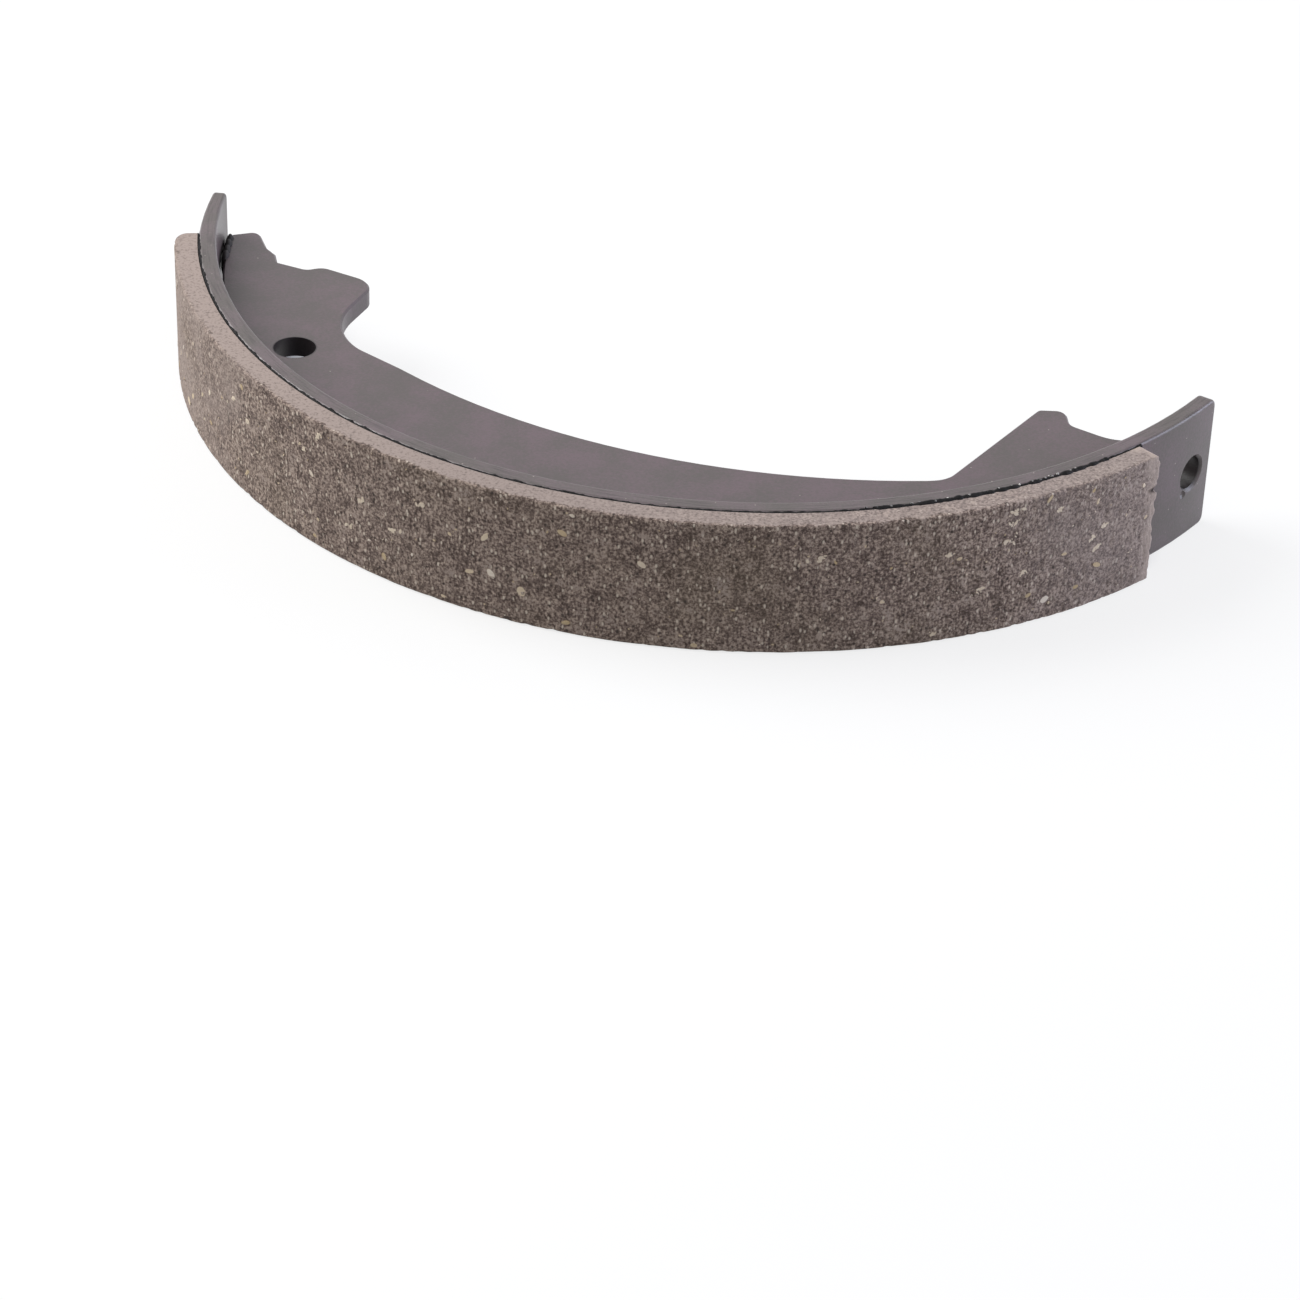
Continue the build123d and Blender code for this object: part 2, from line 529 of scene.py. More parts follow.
@dataclass(frozen=True)
class ShearedStrip(PrimedSteel):
    """The same primer on a strip sheared to width and bent.

    Its sheared edges keep lines along the strip, and its corners carry a pale broken line that is
    partly coat worn thin and partly a painted highlight on the rounded edge.
    """

    name: str = "primed_strip"
    coat: str = "#6b5d61"
    coat_green: str = "#5c5653"
    speck_mm: float = 1.7
    centre: Triple = (0.0, 0.0, 0.0)  # drum's axis at the mid-width, in mm
    corner_radii: Pair = (75.9, 78.4)
    half_width: float = 9.8
    sheared_depth: Pair = (0.5, 0.2)  # under the edge, where it starts and is full
    thin_coat_highlight: str = "#8f888a"
    thin_reach: float = 0.26
    thin_full: float = 0.4  # share of the reach where the pale line of thin coat and painted highlight is full
    thin_highlight_share: float = 0.7
    thin_least: float = 0.15
    thin_break_mm: float = 2.4
    thin_stops: Pair = (0.36, 0.66)
    line_mm: float = 0.3
    line_length_mm: float = 5.0
    line_share: float = 0.4
    line_stops: Pair = (0.5, 0.66)
    shadow: str = "#292527"

    def wear_and_highlights(self, tree: Tree, where: Socket) -> list[tuple[Feed, str]]:
        """Lines along the sheared edges, and on their corners a pale line of thin coat and painted
        highlight.

        Args:
            tree: The material's nodes.
            where: Object coordinates.

        Returns:
            Share and colour of each.
        """
        centre = tuple(c * MM for c in self.centre)
        offset = add_node(tree, "ShaderNodeVectorMath", [centre, where], operation="SUBTRACT")
        x, y, z = add_node(tree, "ShaderNodeSeparateXYZ", [offset]).outputs
        flat = add_node(tree, "ShaderNodeCombineXYZ", [x, y])
        radius = add_node(tree, "ShaderNodeVectorMath", [flat], operation="LENGTH")
        height = add_node(tree, "ShaderNodeMath", [z], operation="ABSOLUTE")
        depths = ((self.half_width - depth) * MM for depth in self.sheared_depth)
        sheared = add_node(tree, "ShaderNodeMapRange", [height, *depths])

        angle = add_node(tree, "ShaderNodeMath", [y, x], operation="ARCTAN2")
        along = overlap(tree, angle, self.corner_radii[0] / self.line_length_mm)
        across = overlap(tree, radius, per_metre(self.line_mm))
        spot = add_node(tree, "ShaderNodeCombineXYZ", [across, along])
        values = {"Vector": spot, "Scale": 1.0, "Detail": 2.0}
        lines = add_node(tree, "ShaderNodeTexNoise", values)
        limits = [lines, *self.line_stops, 0.0, self.line_share]
        lined = overlap(tree, add_node(tree, "ShaderNodeMapRange", limits), sheared)
        # The pale corner line is partly thin coat and partly a painted highlight.
        return [(lined, self.shadow), (self.corners(tree, where, radius, sheared), self.thin_coat_highlight)]

    def corners(self, tree: Tree, where: Socket, radius: Node, sheared: Node) -> Feed:
        """Find the strip's long corners, broken up by noise, for a pale line that is partly a
        painted highlight.

        Args:
            tree: The material's nodes.
            where: Object coordinates.
            radius: Distance from the axis.
            sheared: Share that is 1 on the sheared edges.

        Returns:
            Share that is high where the coat is thin and where a highlight is painted on the edge.
        """
        near: list[object] = []
        for corner in self.corner_radii:
            gap = add_node(tree, "ShaderNodeMath", [radius, corner * MM], operation="SUBTRACT")
            size = add_node(tree, "ShaderNodeMath", [gap], operation="ABSOLUTE")
            reach = self.thin_reach * MM
            limits = [size, self.thin_full * reach, reach, 1.0, 0.0]
            near.append(add_node(tree, "ShaderNodeMapRange", limits))
        either = add_node(tree, "ShaderNodeMath", near, operation="MAXIMUM")
        (luck,) = add_noise(tree, where, ((self.thin_break_mm, 5.0, 0.7),))
        limits = [luck, *self.thin_stops, self.thin_least, self.thin_highlight_share]
        return overlap(tree, either, add_node(tree, "ShaderNodeMapRange", limits), sheared)


@dataclass(frozen=True)
class Specks:
    """One kind of speck in the friction compound, longer along the drum's axis."""

    colour: str
    spacing_mm: float
    length_mm: float
    radius: float  # of the spacing
    odds: float  # share of the places that stay empty
    share: float = 0.8
    solid: float = 0.6  # share of the radius that is full

    def find(self, tree: Tree, where: Socket) -> Feed:
        """Share that is high on each speck.

        Args:
            tree: The material's nodes.
            where: Object coordinates.

        Returns:
            The share.
        """
        scale = (*(per_metre(self.spacing_mm),) * 2, per_metre(self.length_mm))
        long = add_node(tree, "ShaderNodeMapping", {"Vector": where, "Scale": scale})
        cells = add_node(tree, "ShaderNodeTexVoronoi", {"Vector": long, "Scale": 1.0})
        chance = add_node(tree, "ShaderNodeSeparateColor", [cells.outputs["Color"]])
        chosen = add_node(tree, "ShaderNodeMath", [chance, self.odds], operation="GREATER_THAN")
        limits = [cells, self.solid * self.radius, self.radius, self.share, 0.0]
        return overlap(tree, chosen, add_node(tree, "ShaderNodeMapRange", limits))


@dataclass(frozen=True)
class FrictionCompound(Finish):
    """Moulded friction compound: phenolic resin, mineral filler, fibres and metal dust.

    Its ground face is matt and mottled, with grains of a third of a millimetre and faint
    grinding lines across it. Its cut sides are smoother, paler and pinker, and toward the tab
    end they take on some of the mottle. The sawn end is frayed and pale. The mesh says how far
    each point is from those faces.
    """

    name: str = "friction_compound"
    roughness: float = 0.88
    mottle: Stops = ((0.41, "#4a3c36"), (0.5, "#83726a"), (0.6, "#cebaab"))
    sides: Stops = (  # share of the ramp's length, from the horn end
        (0.0, "#a7978f"),
        (0.35, "#a5958d"),
        (0.6, "#9f9089"),
        (1.0, "#a3958f"),
    )
    side_ramp_length: float = 150.0
    worn_from: float = 80.0  # the cut side takes on the ground face's mottle from here
    worn_share: float = 0.4
    sawn_pale_reach: float = 22.0  # the ground face is paler near the sawn end
    sawn_pale_share: float = 0.45
    horn_pale_reach: float = 38.0  # and near the horn end
    horn_pale_share: float = 0.85
    frayed: str = "#bfaea3"
    frayed_reach: float = 2.4
    frayed_share: float = 0.7
    olive: str = "#7a6e52"
    olive_stops: Pair = (0.45, 0.68)
    olive_share: float = 0.15
    pore: str = "#332a26"
    pore_stops: Pair = (0.3, 0.5)
    pore_share: float = 0.6
    specks: tuple[Specks, ...] = (
        Specks("#332a26", 0.8, 0.9, 0.32, 0.72),
        Specks("#e6d8c8", 0.6, 1.1, 0.33, 0.72),
    )
    grain_mm: float = 0.4
    grain_height_mm: float = 0.12
    clump_mm: float = 2.2
    clump_share: float = 0.18
    patch_mm: float = 15.0
    line_mm: float = 0.3
    line_length_mm: float = 1.5
    line_share: float = 0.2
    limit_depth: Pair = (0.2, 0.6)  # under the ground face, where its mottle ends
    limit_jag: float = 0.9
    smudge_from_horn: float = 37.4  # a dark rub mark across the face
    smudge_height: float = 11.2
    smudge_half_length: float = 3.8
    smudge_half_width: Pair = (0.1, 0.55)
    smudge_wander: float = 0.8
    smudge_share: float = 0.6
    smudge_full: float = 0.5  # share of its half-length where it is full
    end_full: float = 0.3  # share of an end's reach where its colour is full
    end_jag: float = 1.2  # how far noise moves that limit, of the reach
    side_relief: float = 0.25

    def look(self, tree: Tree, where: Socket) -> Values:
        """Colour the ground face, the cut sides and the ends, each in its place.

        Args:
            tree: The material's nodes.
            where: Object coordinates.

        Returns:
            Values of the shader's inputs by name.
        """
        depth, tail, lead, broken = (
            add_node(tree, "ShaderNodeAttribute", attribute_name=mark.value).outputs["Fac"]
            for mark in Mark
        )
        sizes = ((self.grain_mm, 4.0, 0.7), (self.clump_mm, 3.0, 0.5), (self.patch_mm, 2.0, 0.5))
        grain, clump, patch = add_noise(tree, where, sizes)
        side = self.side_colour(tree, grain, lead)
        # The ground face turns paler toward both ends, in the cut sides' colour.
        horn_pale = self.end_share(tree, lead, patch, self.horn_pale_reach, self.horn_pale_share)
        sawn_pale = self.end_share(tree, tail, patch, self.sawn_pale_reach, self.sawn_pale_share)
        face = self.face_colour(tree, where, (grain, clump, patch), lead)
        face = lay_coats(tree, face, ((horn_pale, side), (sawn_pale, side)))
        limits = [lead, self.worn_from, self.side_ramp_length, 0.0, self.worn_share]
        worn = add_node(tree, "ShaderNodeMapRange", limits)
        ground = self.ground_share(tree, depth, (grain, clump))
        frayed = self.end_share(tree, tail, clump, self.frayed_reach, self.frayed_share)
        # The notch gets painted shade in the pore colour.
        coats = ((worn, face), (ground, face), (frayed, self.frayed), (broken, self.pore))
        limits = [ground, 0.0, 1.0, self.side_relief, 1.0]
        relief = {
            "Height": grain,
            "Distance": self.grain_height_mm * MM,
            "Strength": add_node(tree, "ShaderNodeMapRange", limits),
        }
        return {
            "Base Color": lay_coats(tree, side, coats),
            "Normal": add_node(tree, "ShaderNodeBump", relief),
        }

    def side_colour(self, tree: Tree, grain: Socket, lead: Socket) -> Feed:
        """Colour of the cut sides, which changes away from the horn end.

        Args:
            tree: The material's nodes.
            grain: Fine noise.
            lead: Distance from the horn end, in millimetres.

        Returns:
            The colour.
        """
        # The cut sides' colour changes a little along the lining, by a ramp.
        share = add_node(tree, "ShaderNodeMath", [lead, self.side_ramp_length], operation="DIVIDE")
        side_ramp = add_node(tree, "ShaderNodeValToRGB", [share], stops=self.sides)
        limits = [grain, *self.pore_stops, self.pore_share, 0.0]
        pitted = add_node(tree, "ShaderNodeMapRange", limits)
        return lay_coats(tree, side_ramp, ((pitted, self.pore),))

    def face_colour(
        self, tree: Tree, where: Socket, noises: tuple[Socket, Socket, Socket], lead: Socket
    ) -> Feed:
        """Colour of the ground face: grains, grinding lines, olive patches, specks, a rub mark.

        Args:
            tree: The material's nodes.
            where: Object coordinates.
            noises: Fine, coarse and broad noise.
            lead: Distance from the horn end, in millimetres.

        Returns:
            The colour.
        """
        grain, clump, patch = noises
        scale = (*(per_metre(self.line_mm),) * 2, per_metre(self.line_length_mm))
        stretch = add_node(tree, "ShaderNodeMapping", {"Vector": where, "Scale": scale})
        values = {"Vector": stretch, "Scale": 1.0, "Detail": 3.0}
        lines = add_node(tree, "ShaderNodeTexNoise", values)
        fine = add_node(tree, "ShaderNodeMix", {0: self.line_share, 2: grain, 3: lines})
        both = add_node(tree, "ShaderNodeMix", {0: self.clump_share, 2: fine, 3: clump})
        mottle = add_node(tree, "ShaderNodeValToRGB", [both], stops=self.mottle)
        limits = [patch, *self.olive_stops, 0.0, self.olive_share]
        olive = add_node(tree, "ShaderNodeMapRange", limits)
        specks = [(kind.find(tree, where), kind.colour) for kind in self.specks]
        smudge = self.find_smudge(tree, where, clump, lead)
        coats = [(olive, self.olive), *specks, (smudge, self.pore)]
        return lay_coats(tree, mottle, coats)

    def find_smudge(self, tree: Tree, where: Socket, clump: Socket, lead: Socket) -> Feed:
        """Share of the dark rub mark.

        Args:
            tree: The material's nodes.
            where: Object coordinates.
            clump: Coarse noise, which makes the mark wander.
            lead: Distance from the horn end, in millimetres.

        Returns:
            The share.
        """
        ends = (side * self.smudge_wander - self.smudge_from_horn for side in (-1, 1))
        wander = add_node(tree, "ShaderNodeMapRange", [clump, 0.0, 1.0, *ends])
        offset = add_node(tree, "ShaderNodeMath", [lead, wander])
        aside = add_node(tree, "ShaderNodeMath", [offset], operation="ABSOLUTE")
        limits = [aside, *self.smudge_half_width, self.smudge_share, 0.0]
        narrow = add_node(tree, "ShaderNodeMapRange", limits)
        height = add_node(tree, "ShaderNodeSeparateXYZ", [where]).outputs["Z"]
        middle = self.smudge_height * MM
        rise = add_node(tree, "ShaderNodeMath", [height, middle], operation="SUBTRACT")
        above = add_node(tree, "ShaderNodeMath", [rise], operation="ABSOLUTE")
        reach = self.smudge_half_length * MM
        limits = [above, self.smudge_full * reach, reach, 1.0, 0.0]
        short = add_node(tree, "ShaderNodeMapRange", limits)
        return overlap(tree, narrow, short)

    def end_share(
        self, tree: Tree, distance: Socket, jagged: Socket, reach: float, most: float
    ) -> Node:
        """Share that fades with the distance from an end.

        Args:
            tree: The material's nodes.
            distance: Distance from the end, in millimetres.
            jagged: Noise that breaks the limit up.
            reach: Distance at which it is gone.
            most: Share at the end itself.

        Returns:
            The share.
        """
        jag = self.end_jag * reach
        limits = [jagged, 0.0, 1.0, -jag, jag]
        wander = add_node(tree, "ShaderNodeMapRange", limits)
        moved = add_node(tree, "ShaderNodeMath", [distance, wander])
        limits = [moved, self.end_full * reach, reach, most, 0.0]
        return add_node(tree, "ShaderNodeMapRange", limits)

    def ground_share(self, tree: Tree, depth: Socket, noises: tuple[Socket, ...]) -> Node:
        """Share that is 1 on the ground face, with a jagged limit.

        Args:
            tree: The material's nodes.
            depth: Depth under the ground face, in millimetres.
            noises: Noises that break the limit up.

        Returns:
            The share.
        """
        moved: Feed = depth
        for jagged in noises:
            limits = [jagged, 0.0, 1.0, -self.limit_jag, self.limit_jag]
            jag = add_node(tree, "ShaderNodeMapRange", limits)
            moved = add_node(tree, "ShaderNodeMath", [moved, jag])
        return add_node(tree, "ShaderNodeMapRange", [moved, *self.limit_depth, 1.0, 0.0])


@dataclass(frozen=True)
class FibreChips(Finish):
    """Chopped mineral fibre and brass chips, ground flush with the lining's face.

    Each chip has a tone of its own, from straw through cream to nearly white.
    """

    name: str = "fibre_chips"
    roughness: float = 0.55
    tones: Stops = ((0.2, "#bfa882"), (0.5, "#dcc9ae"), (0.85, "#efe3d5"))
    grain_mm: float = 0.25
    grain_share: float = 0.35

    def look(self, tree: Tree, where: Socket) -> Values:
        """Colour each chip by its own tone, a little uneven.

        Args:
            tree: The material's nodes.
            where: Object coordinates.

        Returns:
            Values of the shader's inputs by name.
        """
        tone = add_node(tree, "ShaderNodeAttribute", attribute_name="tone").outputs["Fac"]
        (grain,) = add_noise(tree, where, ((self.grain_mm, 2.0, 0.5),))
        shade = add_node(tree, "ShaderNodeMix", {0: self.grain_share, 2: tone, 3: grain})
        return {"Base Color": add_node(tree, "ShaderNodeValToRGB", [shade], stops=self.tones)}


@dataclass(frozen=True)
class CuredAdhesive(Finish):
    """Black nitrile-phenolic adhesive, cured in the joint to a satin, uneven skin."""

    name: str = "cured_adhesive"
    roughness: float = 0.6
    ior: float = 1.52
    black: str = "#0c0b0c"
    skin: str = "#1c1a1b"
    skin_stops: Pair = (0.45, 0.62)
    specular: float = 0.15
    lump_mm: float = 0.6
    lump_height_mm: float = 0.05

    def look(self, tree: Tree, where: Socket) -> Values:
        """Colour the skin by its lumps; a pale skin colour gives painted glints.

        Args:
            tree: The material's nodes.
            where: Object coordinates.

        Returns:
            Values of the shader's inputs by name.
        """
        (lumps,) = add_noise(tree, where, ((self.lump_mm, 2.0, 0.5),))
        stops = tuple(zip(self.skin_stops, (self.black, self.skin)))
        relief = {"Height": lumps, "Distance": self.lump_height_mm * MM}
        return {
            "Base Color": add_node(tree, "ShaderNodeValToRGB", [lumps], stops=stops),
            "Specular IOR Level": self.specular,
            "Normal": add_node(tree, "ShaderNodeBump", relief),
        }


# --- Places and shapes -----------------------------------------------------------------------


@dataclass(frozen=True)
class ShoeLayout:
    """Sizes of the shoe's arcs in millimetres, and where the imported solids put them."""

    drum_radius: float = 82.0
    lining_thickness: float = 3.4
    lining_horn_angle: float = 184.3
    lining_tab_angle: float = 312.7
    table_thickness: float = 2.5
    bond_thickness: float = 0.2

    @property
    def axis(self) -> Pair:
        """X and Y of the drum's axis, in millimetres."""
        low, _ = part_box("brake_lining")
        end = self.drum_radius * math.cos(math.radians(self.lining_horn_angle))
        return low.x / MM - end, low.y / MM + self.drum_radius

    @property
    def lining_angles(self) -> Pair:
        """Angles of the lining's horn end and tab end, in radians."""
        return math.radians(self.lining_horn_angle), math.radians(self.lining_tab_angle)

    @property
    def bond_outer(self) -> float:
        """Radius where the adhesive meets the lining."""
        return self.drum_radius - self.lining_thickness

    @property
    def bond_middle(self) -> float:
        """Radius of the adhesive's middle."""
        return self.bond_outer - self.bond_thickness / 2

    @property
    def table_outer(self) -> float:
        """Radius of the table's outer face."""
        return self.bond_outer - self.bond_thickness

    @property
    def table_inner(self) -> float:
        """Radius of the table's inner face."""
        return self.table_outer - self.table_thickness

    def heights(self, node: str) -> Pair:
        """Lowest and highest Z of a node's solid, in millimetres."""
        low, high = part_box(node)
        return low.z / MM, high.z / MM

    def on_axis(self, height: float = 0.0) -> Triple:
        """Point on the drum's axis, in metres, at a height in millimetres."""
        axis_x, axis_y = self.axis
        return (axis_x * MM, axis_y * MM, height * MM)

    def points(self, radius: np.ndarray, angle: np.ndarray, height: np.ndarray) -> np.ndarray:
        """Turn radius, angle and height about the drum's axis into points.

        Args:
            radius: Radii in millimetres.
            angle: Angles in radians.
            height: Heights in millimetres.

        Returns:
            Points in metres, one a row.
        """
        axis_x, axis_y = self.axis
        x = axis_x + radius * np.cos(angle)
        y = axis_y + radius * np.sin(angle)
        return np.stack([x, y, height], axis=-1).reshape(-1, 3) * MM


def noise_field(points: np.ndarray, size_mm: float, seed: float) -> np.ndarray:
    """Perlin noise at points, from -1 to 1.

    Args:
        points: Points in metres, one a row.
        size_mm: Size of the noise's lumps.
        seed: Shift that gives another pattern.

    Returns:
        One value a point.
    """
    scale = per_metre(size_mm)
    shift = Vector((seed, seed * 1.7, seed * 0.6))
    return np.array([noise.noise(Vector(p) * scale + shift) for p in points])


def smooth(value: np.ndarray, low: float, high: float) -> np.ndarray:
    """Smooth step from 0 at low to 1 at high."""
    share = np.clip((value - low) / (high - low), 0.0, 1.0)
    return share * share * (3.0 - 2.0 * share)


def round_corner(
    first: np.ndarray, second: np.ndarray, radius: float | np.ndarray
) -> tuple[np.ndarray, np.ndarray]:
    """Pull points near an edge onto a rounding.

    Args:
        first: Depth of each point under one of the two faces that meet at the edge.
        second: Its depth under the other.
        radius: Radius of the rounding.

    Returns:
        The two depths after rounding.
    """
    p = np.maximum(radius - first, 0.0)
    q = np.maximum(radius - second, 0.0)
    reach = np.hypot(p, q)
    pull = np.where(reach > radius, radius / np.maximum(reach, 1e-9), 1.0)
    both = (p > 0.0) & (q > 0.0)
    first = np.where(both, radius - p * pull, first)
    second = np.where(both, radius - q * pull, second)
    return first, second


def find_bores(frame: dict) -> dict[str, Bore]:
    """Find the punched holes in the part's record.

    Args:
        frame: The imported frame.

    Returns:
        Each hole by the name of its mount.
    """
    return {
        mount["name"]: Bore(
            tuple(mount["pos_m"]), tuple(mount["axis"]), mount["dims"]["r_mm"] * MM
        )
        for mount in frame["record"]["mounts"]
        if "r_mm" in mount["dims"]
    }


# --- Sub-assemblies --------------------------------------------------------------------------


@dataclass
class PaintedSolids:
    """The table, the web and the adhesive layer, which keep their solids."""

    layout: ShoeLayout

    def dress(self, frame: dict) -> None:
        """Give each solid its finish.

        Args:
            frame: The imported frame.
        """
        layout = self.layout
        low, high = layout.heights("shoe_table")
        bores = find_bores(frame)
        finishes = {
            "shoe_table": ShearedStrip(
                bores=(bores["tab_hole"],),
                centre=(*layout.axis, (low + high) / 2),
                corner_radii=(layout.table_inner, layout.table_outer),
                half_width=(high - low) / 2,
            ),
            "shoe_web": PrimedSteel(bores=(bores["web_hole"],)),
            "bond_line": CuredAdhesive(name="cured_bond"),
        }
        for node, finish in finishes.items():
            mesh = frame["nodes"][node].data
            mesh.materials.clear()
            mesh.materials.append(finish.build())
            log.info("%s: %d faces, finished", node, len(mesh.polygons))


@dataclass
class Lining:
    """Friction lining: a ground face, cut sides and a ragged sawn end."""

    layout: ShoeLayout
    steps: tuple[int, int, int] = (400, 90, 12)  # along, across and deep
    crowding: float = 0.6  # how much closer the lattice is at its edges
    fine_noise: Pair = (0.9, 3.0)  # lump size and seed
    coarse_noise: Pair = (3.2, 11.0)
    edge_rounding: float = 0.28
    edge_wander: float = 0.5  # how much the rounding wanders, of itself
    edge_chipping: float = 0.5
    chip_rarity: float = 1.5  # power that makes deep chips rare
    lead_rounding: float = 1.9
    lead_stretch: float = 1.8  # how much longer the rounding is along the face than deep
    end_rounding: float = 0.9
    pit_depth: float = 0.12
    pit_stops: Pair = (0.18, 0.5)
    pit_skin: Pair = (0.9, 1.0)  # share of the way to the ground face where pits start
    break_length: float = 0.22  # the sawn end's outer corner is frayed
    break_noise: Pair = (1.2, 0.8)  # share of fine and of coarse noise in it
    break_depth: float = 0.8
    break_reach: float = 4.0
    notch_height: float = 14.46  # Z of a small break-out in the sawn end
    notch_depth: float = 0.75
    notch_half_width: float = 0.46
    notch_squareness: int = 4
    notch_floor: Pair = (1.6, 2.4)  # depth under the ground face where it ends
    notch_shadow: Pair = (0.4, 1.4)  # where its dark wall fades, of its depth

    def build(self) -> bpy.types.Object:
        """Build the lining and put it in its solid's place.

        Returns:
            The lining.
        """
        shape = tuple(count + 1 for count in self.steps)
        lattice = np.indices(shape)
        last = np.array(self.steps)
        skin = np.zeros(shape, bool)
        for axis in range(3):
            skin |= (lattice[axis] == 0) | (lattice[axis] == last[axis])
        index = np.full(shape, -1)
        index[skin] = np.arange(skin.sum())
        shares = [lattice[axis][skin] / last[axis] for axis in range(3)]
        crowded = [
            share - self.crowding * np.sin(2 * math.pi * share) / (2 * math.pi)
            for share in shares
        ]
        points, marks = self.shape_points(*crowded)
        faces: list[np.ndarray] = []
        for axis in range(3):
            for end in (0, -1):
                sheet = np.take(index, end, axis=axis)
                corners = [sheet[:-1, :-1], sheet[1:, :-1], sheet[1:, 1:], sheet[:-1, 1:]]
                faces.append(np.stack(corners, axis=-1).reshape(-1, 4))

        mesh = bpy.data.meshes.new("lining")
        mesh.from_pydata(points.tolist(), [], np.concatenate(faces).tolist())
        mesh.materials.append(FrictionCompound().build())
        shell = bmesh.new()
        shell.from_mesh(mesh)
        bmesh.ops.recalc_face_normals(shell, faces=shell.faces)
        shell.to_mesh(mesh)
        shell.free()
        for mark, values in marks.items():
            mesh.attributes.new(mark.value, "FLOAT", "POINT").data.foreach_set("value", values)
        return hand_over(place(mesh, "lining"), ("brake_lining",))

    def shape_points(
        self, along: np.ndarray, across: np.ndarray, deep: np.ndarray
    ) -> tuple[np.ndarray, dict[Mark, np.ndarray]]:
        """Shape the lining's skin, with its edges rounded, chipped and sawn.

        Args:
            along: Share of the way from the horn end to the tab end.
            across: Share of the way from the lower side to the upper.
            deep: Share of the way from the bonded face to the ground face.

        Returns:
            Points in metres, and the distances that the finish reads, in millimetres.
        """
        layout = self.layout
        horn, tab = layout.lining_angles
        low, high = layout.heights("brake_lining")
        length = layout.drum_radius * (tab - horn)
        width = high - low
        s = along * length
        z = across * width
        d = (1.0 - deep) * layout.lining_thickness

        def to_points() -> np.ndarray:
            """Points of the skin as it is now."""
            angle = horn + s / layout.drum_radius
            return layout.points(layout.drum_radius - d, angle, low + z)

        plain = to_points()
        fine = noise_field(plain, *self.fine_noise)
        coarse = noise_field(plain, *self.coarse_noise)
        marks = {Mark.SAWN: length - s, Mark.LEAD: s}

        # Lead edge, rounded between the ground face and the horn end.
        d, short = round_corner(d, s / self.lead_stretch, self.lead_rounding)
        s = short * self.lead_stretch

        # Sawn end: a frayed outer corner, and one break-out.
        near_end = 1.0 - smooth(length - s, 0.0, self.break_reach)
        fine_share, coarse_share = self.break_noise
        torn = self.break_length * (1.0 + fine_share * fine + coarse_share * coarse)
        torn *= 1.0 - smooth(d, 0.0, self.break_depth)
        aside = (z + low - self.notch_height) / self.notch_half_width
        notch = np.exp(-(aside**self.notch_squareness))
        notch *= 1.0 - smooth(d, *self.notch_floor)
        near_notch, past_notch = (share * self.notch_depth for share in self.notch_shadow)
        # Painted shade in the notch, fading with the distance from the sawn end.
        marks[Mark.NOTCH_SHADE] = notch * (1.0 - smooth(length - s, near_notch, past_notch))
        s = s - near_end * (torn + self.notch_depth * notch)

        # Sawn end's upper and lower corners.
        left, z = round_corner(length - s, z, self.end_rounding)
        left, upper = round_corner(left, width - z, self.end_rounding)
        s = length - left
        z = width - upper

        # Long edges, rounded by an amount that wanders, with chips.
        chips = np.clip(fine, 0.0, 1.0) ** self.chip_rarity * self.edge_chipping
        rounding = self.edge_rounding * (1.0 + self.edge_wander * coarse) + chips
        d, z = round_corner(d, z, rounding)
        d, upper = round_corner(d, width - z, rounding)
        z = width - upper
        marks[Mark.GROUND] = d

        # Pits in the ground face.
        pits = smooth(fine, *self.pit_stops) * self.pit_depth
        d = d + pits * smooth(deep, *self.pit_skin)
        return to_points(), marks


@dataclass
class GrownPiece:
    """A piece that a geometry node tree grows from a seed mesh."""

    layout: ShoeLayout
    name: ClassVar[str]
    slot: ClassVar[Slot]
    soft: ClassVar[bool] = True

    def build(self) -> bpy.types.Object:
        """Grow the piece and hand it over.

        Returns:
            The piece.
        """
        values = self.values()
        tree, given = start_tree(self.name + "_tree", values)
        end_tree(tree, self.wire(tree, given), given["Material"])
        piece = grow(self.name, self.seed_mesh(), tree, values)
        return hand_over(piece, self.replaced(), self.soft)

    def values(self) -> Values:
        """Name and value of each of the tree's inputs, the material among them."""
        raise NotImplementedError

    def wire(self, tree: Tree, given: dict[str, Socket]) -> Feed:
        """Wire the tree between its inputs and its end.

        Args:
            tree: Geometry node tree.
            given: Its inputs by name.

        Returns:
            The geometry that it makes.
        """
        raise NotImplementedError

    def seed_mesh(self) -> bpy.types.Mesh:
        """Mesh that the tree starts from, which is empty unless a piece says otherwise."""
        return bpy.data.meshes.new(self.name + "_seed")

    def replaced(self) -> list[str]:
        """Nodes whose solids the piece stands for."""
        return []


